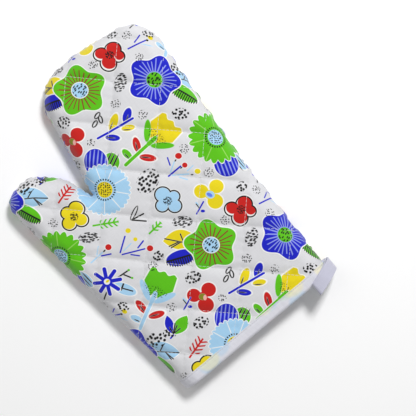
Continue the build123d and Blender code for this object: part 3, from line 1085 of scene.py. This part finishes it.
def twigs(art):
    """A leafy twig and three twigs that end in berries."""
    leafy = (82, 45.5)
    art.draw(leafy, (12.9, 14.5, 8.1, 3.6, 72, YELLOW, 0.7), (24.4, 20.8, 6.9, 3.5, 74, BLUE, 0.7),
             (25.3, 9.9, 5.7, 2.8, 12, YELLOW, 0.7), (12.5, 0.9, 6.2, 2.9, -4, BLUE, 0.7))
    for right, up, turn in ((10.8, 10.8, 72), (24.2, 17.3, 76), (24.2, 8.2, 5), (10.4, 0.9, -4)):
        art.oval(leafy, right, up, 3.8, 0.5, turn, BLACK)
    art.stroke(leafy, (0, 0), (29.2, 18.4), 1.5, BLUE, 0.5)

    art.draw((152, 91), ((0, 0), (15.2, 8.7), 1.0, BLUE), ((5.2, 6.1), (9.5, 13), 0.9, BLUE),
             (16, 8.7, 1.2, 1.0, 0, BLACK), (19.1, 11.7, 2.5, 2.1, -20, YELLOW),
             (16, 3.9, 5.2, 0.5, -8, SKY))

    fan = (107.5, 157.5)
    art.draw(fan, ((0, 0), (10, 8.9), 1.1, BLUE), ((-1.1, 16.2), (1.1, 9.7), 0.9, BLUE),
             ((1.6, 3.5), (4.6, 12.7), 0.8, SKY), ((3.1, 0.8), (17, 2.3), 0.9, SKY),
             ((15.8, 5), (20.5, 9.7), 0.7, SKY), ((9.3, -0.8), (15.8, -2.7), 0.8, SKY),
             (13.5, 10, 2.3, 2.3, 0, RED, 0.5), (8.1, 18, 2.9, 2.7, 0, RED, 0.5),
             (24.3, 4.8, 2.6, 2.3, 0, YELLOW, 0.5))
    for right, up, turn in ((10.6, 7.6, 40), (5.6, 13.9, 60), (19.7, 1.7, 5)):
        art.oval(fan, right, up, 1.2, 0.6, turn, BLACK)

    art.draw((33, 130.5), ((0, 0), (3.8, 14.4), 1.0, BLUE), ((1.7, -1.7), (20.4, 3.7), 1.0, BLUE),
             ((14.9, 4.6), (19.2, 10.7), 1.0, BLUE), ((9.1, -1.6), (16.1, -2.5), 0.9, BLUE),
             ((-15.8, -3.3), (-7.9, -1.4), 1.0, BLUE), ((2.9, 1.6), (9.1, 8.3), 0.7, SKY),
             ((-24.4, -9.5), (-14.9, 0), 0.9, SKY), ((-19.8, -2.5), (-18.6, 4.9), 0.7, SKY),
             (6.4, 19.5, 2.3, 2.2, 0, YELLOW), (12.6, 12, 1.8, 1.8, 0, YELLOW),
             (25, 4.3, 2.8, 2.7, 0, RED, 0.5),
             (-10, 4.6, 2.7, 2.7, 0, RED, 0.5), (-13.4, 1.2, 1.5, 0.7, 50, BLACK))


def star_flower(art, middle):
    """Eight narrow petals: strokes folded round the middle every 45 degrees, on a pale blue leaf."""
    art.draw(middle, (14.7, -6.1, 10.4, 4.8, -20, SKY, 0.6), ((6.1, 1.7), (17.8, 10.4), 1.0, BLACK),
             ((14.3, 6.5), (20.8, 3.9), 1.0, BLACK), ((0, -8.7), (-3.9, -17.3), 1.0, BLACK),
             (18.2, 10.7, 1.1, 1.0, 0, GREEN), (21.2, 3.8, 1.1, 1.0, 0, GREEN),
             ((12.1, -5.2), (21.7, -7.8), 0.9, BLACK), ((12.1, -6.9), (13.9, -1.7), 1.1, BLACK))
    distance, angle = art.polar(middle)
    folded = (angle - 12).math("PINGPONG", 22.5) * math.radians(1)
    past = (abs(distance * folded.math("COSINE") - 7.4) - 4.0).most(0.0)
    inside = 1.7 - root_of_squares(past, distance * folded.sine())
    art.lay(inside + 0.8, HALO)
    art.lay(inside.most(3.6 - distance), BLUE)
    art.lay(2.6 - distance, HALO)
    art.oval(middle, 0.5, 0.5, 1.8, 1.1, 40, YELLOW)


def leaves_and_seeds(art):
    """Feathered sprigs, a pair of leaves, tiny twigs, hollow seeds and a spring of line."""
    art.sprig((29.5, 25), 57, 10, RED, 5.2)
    art.sprig((39.5, 158), 11, 10.8, GREEN, 3.9)
    art.sprig((69.5, 129), 46, 7, GREEN, 3.5)

    pair = (26.5, 51)
    art.leaf(pair, -3.9, 2.6, 8.2, 3.6, 105, BLUE)
    art.leaf(pair, 6.1, 2.2, 9.5, 5.6, 60, GREEN)
    for end in ((2.6, 1.7), (5.2, -0.9), (0.9, 3.5), (-3.5, 0)):
        art.stroke(pair, (-0.4, -5.6), end, 0.8, BLACK)
    art.stroke(pair, (-0.4, -6.9), (-2.6, -9.5), 1.1, BLUE)

    for middle in ((48.5, 60), (110.5, 119)):
        art.draw(middle, ((-3, -5.2), (2.6, 5.6), 1.0, BLUE), (2.2, -2.6, 1.9, 1.3, 0, BLUE),
                 (-2.6, 3.5, 2.3, 0.9, -50, SKY), ((-3.5, 3.5), (-0.9, 0), 0.7, BLACK))
    for right, up, turn in ((2.1, 4.3, 55), (4.8, 1, 105), (0, -3.1, 62)):
        art.draw((90, 59.5), (right, up, 3.7, 2.1, turn, BLACK), (right, up, 2.5, 0.8, turn, GROUND))
    art.draw((64, 146), (-2.6, 3.5, 7.1, 2, 66, BLACK), (-2.6, 3.5, 5.7, 0.9, 66, GROUND),
             ((-4.3, -2.6), (5.2, 3), 1.0, BLACK), ((-4.3, -2.8), (7.4, -3.5), 1.0, BLACK))


def combed_leaf(art, middle, right, up, long, turn, colour):
    """A blunt leaf with a black midrib and black teeth all along its lower half."""
    along, across, inside = art.leaf(middle, right, up, long, 6.8, turn, colour, pointed=False)
    comb = (along * 13).math("PINGPONG", 1.0) - 0.5
    art.lay(comb.least(across * -4.0 - 0.2).least(inside + 0.8), BLACK)
    art.lay((0.6 - abs(across) * 5).least(inside), BLACK)


def cup(art, middle, right, up, long, wide, turn):
    """A blue cup behind a daisy, with pale stripes along it."""
    inside = (1.0 - root_of_squares(*art.around(middle, right, up, 0, (long, wide)))) * long
    art.lay(inside + 0.8, HALO)
    art.lay(inside, BLUE)
    along, across = art.around(middle, right, up, turn)
    stripe = (across.math("PINGPONG", 1.65) - 1.17 + (along * 0.4).sine() * 0.1) * 1.15
    art.lay(stripe.least(inside - 0.5), PALE_BLUE, 0.6)


# ---------------------------------------------------------------- cloths and threads

def new_material(name, roughness, sheen=0.0, specular=0.3):
    """A material whose plain numbers are set on its shader."""
    material = bpy.data.materials.new(name)
    material.use_nodes = True
    tree = material.node_tree
    shader = tree.nodes["Principled BSDF"]
    shader.inputs["Roughness"].default_value = roughness
    shader.inputs["Sheen Weight"].default_value = sheen
    shader.inputs["Sheen Roughness"].default_value = 0.5
    shader.inputs["Specular IOR Level"].default_value = specular
    return material, tree, shader


def raise_bump(tree, shader, height, strength, depth):
    """Raises the surface by a height from 0 to 1, over a depth in millimetres."""
    bump = tree.nodes.new("ShaderNodeBump")
    bump.inputs["Strength"].default_value = strength
    bump.inputs["Distance"].default_value = depth * MM
    connect(tree, height, bump.inputs["Height"])
    tree.links.new(bump.outputs[0], shader.inputs["Normal"])


def finish_cloth(tree, shader, colour, cloth, pitch):
    """Plain weave on a cloth's own millimetres: threads cross at pitch as a product of two sines, with
    slubs from noise drawn out along each thread. Both raise the bump. The slubs mottle the colour at
    random, and the weave darkens the colour where the threads dip, as painted shade."""
    right, up = parts_of(tree, cloth)
    weave = (right * (math.pi / pitch)).sine() * (up * (math.pi / pitch)).sine()
    slubs = []
    for stretch in ((0.08, 1.0, 1.0), (1.0, 0.08, 1.0)):
        drawn = vector_math(tree, "MULTIPLY", cloth, stretch)
        noise = tree.nodes.new("ShaderNodeTexNoise")
        noise.inputs["Scale"].default_value = 1.1
        noise.inputs["Detail"].default_value = 2
        tree.links.new(drawn, noise.inputs["Vector"])
        slubs.append(Number(tree, noise.outputs["Fac"]))
    thread = slubs[0] + slubs[1] - 1.0
    # the slubs vary the tone at random; the weave term is painted shade, darker where the threads dip
    shade = thread * 0.10 + weave * 0.03 + 1.0
    dark = tree.nodes.new("ShaderNodeCombineColor")
    for place in dark.inputs[:3]:
        connect(tree, shade, place)
    mottled_and_weave_shaded = mix_colour(tree, 1.0, colour, dark.outputs[0], "MULTIPLY")
    connect(tree, mottled_and_weave_shaded, shader.inputs["Base Color"])
    raise_bump(tree, shader, weave * 0.5 + thread * 0.8, 0.7, 0.06)


def cloth_place(tree, layer):
    """A piece's flat-cloth UV in millimetres, or its object's own place if it has none."""
    source = tree.nodes.new("ShaderNodeUVMap" if layer else "ShaderNodeTexCoord")
    if layer:
        source.uv_map = layer
    scaled = vector_math(tree, "SCALE", source.outputs["UV" if layer else "Object"])
    scaled.node.inputs["Scale"].default_value = UV_MM if layer else 1 / MM
    return scaled


def plain_cotton(name, colour, pitch):
    """Undyed plain-woven cotton, a little uneven in its white."""
    material, tree, shader = new_material(name, roughness=0.86, sheen=0.2)
    finish_cloth(tree, shader, colour, cloth_place(tree, None), pitch)
    return material


def binding_cotton():
    """The print's own cloth turned wrong side out: white, with its dyes showing through as faint
    round patches of each colour."""
    material, tree, shader = new_material("binding_cotton", roughness=0.86, sheen=0.2)
    cloth = cloth_place(tree, "cloth")
    colour = dye(212, 212, 220)
    for spacing, tint in ((37, SKY), (53, dye(160, 205, 160)), (61, dye(235, 170, 175)),
                          (47, dye(240, 228, 150)), (71, PALE_BLUE)):
        scaled = vector_math(tree, "SCALE", cloth)
        scaled.node.inputs["Scale"].default_value = 1 / spacing
        moved = vector_math(tree, "ADD", scaled, (spacing * 0.37, spacing * 0.71, 0))
        cells = tree.nodes.new("ShaderNodeTexVoronoi")
        cells.voronoi_dimensions = "2D"
        cells.inputs["Scale"].default_value = 1
        tree.links.new(moved, cells.inputs["Vector"])
        patch = (11.0 / spacing - Number(tree, cells.outputs["Distance"])) * (spacing / 3)
        factor = patch.math("MULTIPLY", 0.4, clamp=True).least(0.4)
        colour = mix_colour(tree, factor, colour, tint)
    finish_cloth(tree, shader, colour, cloth, 0.5)
    return material


def thread(name, colour):
    """Twisted polyester: a slanting wave for the ply, with painted shade along the twist, glossier than the
    cloth.
    """
    material, tree, shader = new_material(name, roughness=0.5, sheen=0.15, specular=0.45)
    place = cloth_place(tree, None)
    right, up = parts_of(tree, place)
    ply = ((right + up * 0.6) * (math.tau / 0.32)).sine()
    # painted shade: along the ply the colour turns to a darker copy of itself
    colour_node = mix_colour(tree, ply * 0.5 + 0.5, colour, tuple(part * 0.86 for part in colour[:3]) + (1,))
    connect(tree, colour_node, shader.inputs["Base Color"])
    raise_bump(tree, shader, ply, 0.6, 0.05)
    return material


def twill_tape(name, layer):
    """Herringbone tape: slanting ribs that turn back every 3 mm across the tape, with painted shade between
    them.
    """
    material, tree, shader = new_material(name, roughness=0.7, sheen=0.3)
    cloth = cloth_place(tree, layer)
    along, across = parts_of(tree, cloth)
    zigzag = across.math("PINGPONG", 3.0)
    rib = ((along * 0.5 + zigzag) * (math.tau / 0.75)).sine() * 0.5 + 0.5
    # painted shade: the same white, darker in the grooves between the ribs and lighter on their crests
    colour = mix_colour(tree, rib, dye(176, 176, 194), dye(198, 198, 214))
    connect(tree, colour, shader.inputs["Base Color"])
    raise_bump(tree, shader, rib, 0.7, 0.12)
    return material


PRINT = printed_cotton()
LINING = plain_cotton("lining_cotton", dye(214, 214, 212), 0.6)
BINDING = binding_cotton()
TAPE_TWILL = twill_tape("twill_tape", "cloth")
TAB_TWILL = twill_tape("tab_twill", None)
QUILT_THREAD = thread("quilting_thread", dye(222, 222, 222))
SEWING_THREAD = thread("sewing_thread", dye(216, 216, 220))
for piece, material in ((quilted_front, PRINT), (quilted_back, PRINT), (cuff, BINDING), (loop, TAPE_TWILL),
                        (front_lining, LINING), (back_lining, LINING), (front_stitches, QUILT_THREAD),
                        (back_stitches, QUILT_THREAD), (topstitch, SEWING_THREAD)):
    piece.data.materials.append(material)
for node_name, material in (("loop_root_tab", TAB_TWILL), ("loop_bar_tack", SEWING_THREAD),
                            ("side_seam_thread", SEWING_THREAD), ("thumb_seam_thread", SEWING_THREAD)):
    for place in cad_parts[node_name].material_slots:
        place.material = material


# ---------------------------------------------------------------- floor, light and camera

def plain_material(name, colour, roughness):
    material = bpy.data.materials.new(name)
    material.use_nodes = True
    shader = material.node_tree.nodes["Principled BSDF"]
    shader.inputs["Base Color"].default_value = (*colour, 1)
    shader.inputs["Roughness"].default_value = roughness
    return material


bpy.ops.mesh.primitive_plane_add(size=6, location=(0, 0, 0))
floor = bpy.context.object
floor.name = "floor"
floor.data.materials.append(plain_material("pale_floor", (0.96, 0.96, 0.96), 0.9))

TURN = math.radians(-39.8)  # the camera's roll: the mitt lies slanted across the view
VIEW_WIDTH = 0.3603
FOCAL_LENGTH, SENSOR_WIDTH = 100, 36
camera_data = bpy.data.cameras.new("camera")
camera_data.lens = FOCAL_LENGTH
camera = bpy.data.objects.new("camera", camera_data)
bpy.context.scene.collection.objects.link(camera)
CENTRE = (np.array([114.6, 110.3, 24.0]) + ZERO) * MM
camera.location = (CENTRE[0], CENTRE[1], CENTRE[2] + VIEW_WIDTH * FOCAL_LENGTH / SENSOR_WIDTH)
camera.rotation_euler = (0, 0, TURN)
bpy.context.scene.camera = camera


def area_light(name, right, up, height, size, power):
    """A soft square lamp, placed to the right of and above the view's middle, aimed at the mitt's middle."""
    data = bpy.data.lights.new(name, "AREA")
    data.size = size
    data.energy = power
    lamp = bpy.data.objects.new(name, data)
    turned = right * math.cos(TURN) - up * math.sin(TURN), right * math.sin(TURN) + up * math.cos(TURN)
    lamp.location = (turned[0], turned[1], height)
    lamp.rotation_euler = (-lamp.location).to_track_quat("-Z", "Y").to_euler()
    bpy.context.scene.collection.objects.link(lamp)


area_light("key", 0.35, 0.75, 1.25, 0.28, 17.1)
area_light("fill", -0.9, 0.2, 1.4, 1.2, 2)
world = bpy.data.worlds.new("studio")
bpy.context.scene.world = world
world.use_nodes = True
world.node_tree.nodes["Background"].inputs["Color"].default_value = (1, 1, 1, 1)
world.node_tree.nodes["Background"].inputs["Strength"].default_value = 0.36
bpy.context.scene.view_settings.view_transform = "Standard"
